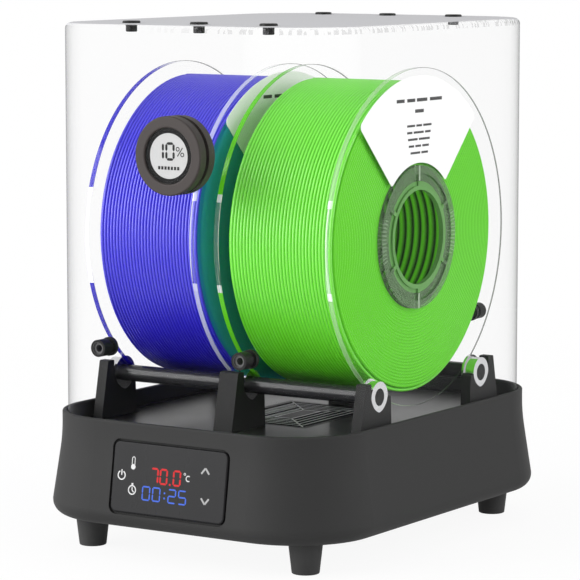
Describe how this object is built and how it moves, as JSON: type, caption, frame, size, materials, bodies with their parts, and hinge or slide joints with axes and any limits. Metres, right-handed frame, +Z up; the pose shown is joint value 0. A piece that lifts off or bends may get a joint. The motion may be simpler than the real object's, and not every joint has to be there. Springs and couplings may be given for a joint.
{
  "type": "filament dryer box",
  "caption": "Heated box that dries reels of printer filament: a flared base with a touch panel, fan and heater, reels on rollers, and a clear lift-off cover with a humidity gauge.",
  "frame": {"origin": "on the floor under the middle of the box", "axes": "+Z up, -Y towards the front with the panel and gauge, +X to the right seen from the front"},
  "size_m": [0.2156, 0.279, 0.3114],
  "materials": {
    "base_plastic": "fine moulded grain, satin",
    "grille_plastic": "fine moulded grain",
    "foot_rubber": "matt rubber",
    "screw_steel": "zinc plated",
    "panel_gloss": "glossy touch plate with lit digits",
    "circuit_board": "solder mask",
    "fan_plastic": "moulded",
    "heater_aluminium": "finned",
    "probe_steel": "plain",
    "inlet_plastic": "moulded",
    "cover_clear": "clear moulded plastic, polished",
    "seal_rubber": "soft foam ring",
    "gauge_plastic": "smooth satin",
    "gauge_screen": "segment display",
    "gauge_window": "clear window",
    "bush_plastic": "bearing plastic",
    "roller_metal": "drawn bar",
    "outlet_plastic": "smooth",
    "plug_rubber": "soft rubber",
    "reel_clear": "clear moulded plastic",
    "filament_blue": "silk-like strand, blue to violet",
    "filament_green": "silk-like strand, green",
    "label_paper": "coated paper"
  },
  "bodies": {
    "base": {"base_shell": "base_plastic", "chamber_deck": "base_plastic", "air_grille": "grille_plastic", "bottom_plate": "base_plastic", "feet": "foot_rubber", "base_screws": "screw_steel", "bracket_screws": "screw_steel", "control_panel": "panel_gloss", "panel_board": "circuit_board", "fan_frame": "fan_plastic", "heater": "heater_aluminium", "temperature_probe": "probe_steel", "power_board": "circuit_board", "power_inlet": "inlet_plastic", "cover_seal": "seal_rubber", "front_left_bracket": "base_plastic", "front_middle_bracket": "base_plastic", "front_right_bracket": "base_plastic", "front_middle_bushes": "bush_plastic", "front_left_bush": "bush_plastic", "front_right_bush": "bush_plastic", "rear_left_bracket": "base_plastic", "rear_middle_bracket": "base_plastic", "rear_right_bracket": "base_plastic", "rear_middle_bushes": "bush_plastic", "rear_left_bush": "bush_plastic", "rear_right_bush": "bush_plastic"},
    "fan": {"fan_rotor": "fan_plastic"},
    "cover": {"clear_cover": "cover_clear", "gauge_housing": "gauge_plastic", "gauge_display": "gauge_screen", "gauge_lens": "gauge_window", "gauge_lock_ring": "gauge_plastic", "front_left_outlet": "outlet_plastic", "front_right_outlet": "outlet_plastic", "rear_left_outlet": "outlet_plastic", "rear_right_outlet": "outlet_plastic"},
    "front_left_plug": {"front_left_plug": "plug_rubber"},
    "front_middle_plug": {"front_middle_plug": "plug_rubber"},
    "front_right_plug": {"front_right_plug": "plug_rubber"},
    "rear_left_plug": {"rear_left_plug": "plug_rubber"},
    "rear_middle_plug": {"rear_middle_plug": "plug_rubber"},
    "rear_right_plug": {"rear_right_plug": "plug_rubber"},
    "left_reel": {"left_reel_right_flange": "reel_clear", "left_reel_left_flange": "reel_clear", "left_reel_hub": "reel_clear", "left_reel_filament_core": "filament_blue", "left_reel_filament_layer": "filament_blue", "left_reel_label": "label_paper"},
    "front_left_roller": {"front_left_roller": "roller_metal"},
    "rear_left_roller": {"rear_left_roller": "roller_metal"},
    "right_reel": {"right_reel_right_flange": "reel_clear", "right_reel_left_flange": "reel_clear", "right_reel_hub": "reel_clear", "right_reel_filament_core": "filament_green", "right_reel_filament_layer": "filament_green", "right_reel_label": "label_paper"},
    "front_right_roller": {"front_right_roller": "roller_metal"},
    "rear_right_roller": {"rear_right_roller": "roller_metal"}
  },
  "joints": [
    {"name": "cover_lift", "type": "slide", "parent": "base", "child": "cover", "axis": [0, 0, 1], "range_m": [0, 0.22]},
    {"name": "fan_spin", "type": "hinge", "parent": "base", "child": "fan", "pos_m": [0, 0, 0.04], "axis": [0, 0, 1], "continuous": true},
    {"name": "front_left_plug_pull", "type": "slide", "parent": "cover", "child": "front_left_plug", "axis": [0, 0, 1], "range_m": [0, 0.02]},
    {"name": "front_middle_plug_pull", "type": "slide", "parent": "cover", "child": "front_middle_plug", "axis": [0, 0, 1], "range_m": [0, 0.02]},
    {"name": "front_right_plug_pull", "type": "slide", "parent": "cover", "child": "front_right_plug", "axis": [0, 0, 1], "range_m": [0, 0.02]},
    {"name": "rear_left_plug_pull", "type": "slide", "parent": "cover", "child": "rear_left_plug", "axis": [0, 0, 1], "range_m": [0, 0.02]},
    {"name": "rear_middle_plug_pull", "type": "slide", "parent": "cover", "child": "rear_middle_plug", "axis": [0, 0, 1], "range_m": [0, 0.02]},
    {"name": "rear_right_plug_pull", "type": "slide", "parent": "cover", "child": "rear_right_plug", "axis": [0, 0, 1], "range_m": [0, 0.02]},
    {"name": "left_reel_spin", "type": "hinge", "parent": "base", "child": "left_reel", "pos_m": [-0.0463, 0, 0.18358], "axis": [1, 0, 0], "continuous": true},
    {"name": "front_left_roller_spin", "type": "hinge", "parent": "base", "child": "front_left_roller", "pos_m": [-0.05, -0.0592, 0.0965], "axis": [1, 0, 0], "continuous": true},
    {"name": "rear_left_roller_spin", "type": "hinge", "parent": "base", "child": "rear_left_roller", "pos_m": [-0.05, 0.0592, 0.0965], "axis": [1, 0, 0], "continuous": true},
    {"name": "right_reel_spin", "type": "hinge", "parent": "base", "child": "right_reel", "pos_m": [0.0463, 0, 0.18358], "axis": [1, 0, 0], "continuous": true},
    {"name": "front_right_roller_spin", "type": "hinge", "parent": "base", "child": "front_right_roller", "pos_m": [0.05, -0.0592, 0.0965], "axis": [1, 0, 0], "continuous": true},
    {"name": "rear_right_roller_spin", "type": "hinge", "parent": "base", "child": "rear_right_roller", "pos_m": [0.05, 0.0592, 0.0965], "axis": [1, 0, 0], "continuous": true}
  ],
  "couplings": [
    {"joint": "front_left_roller_spin", "follows": "left_reel_spin", "ratio": -20},
    {"joint": "rear_left_roller_spin", "follows": "left_reel_spin", "ratio": -20},
    {"joint": "front_right_roller_spin", "follows": "right_reel_spin", "ratio": -20},
    {"joint": "rear_right_roller_spin", "follows": "right_reel_spin", "ratio": -20}
  ]
}
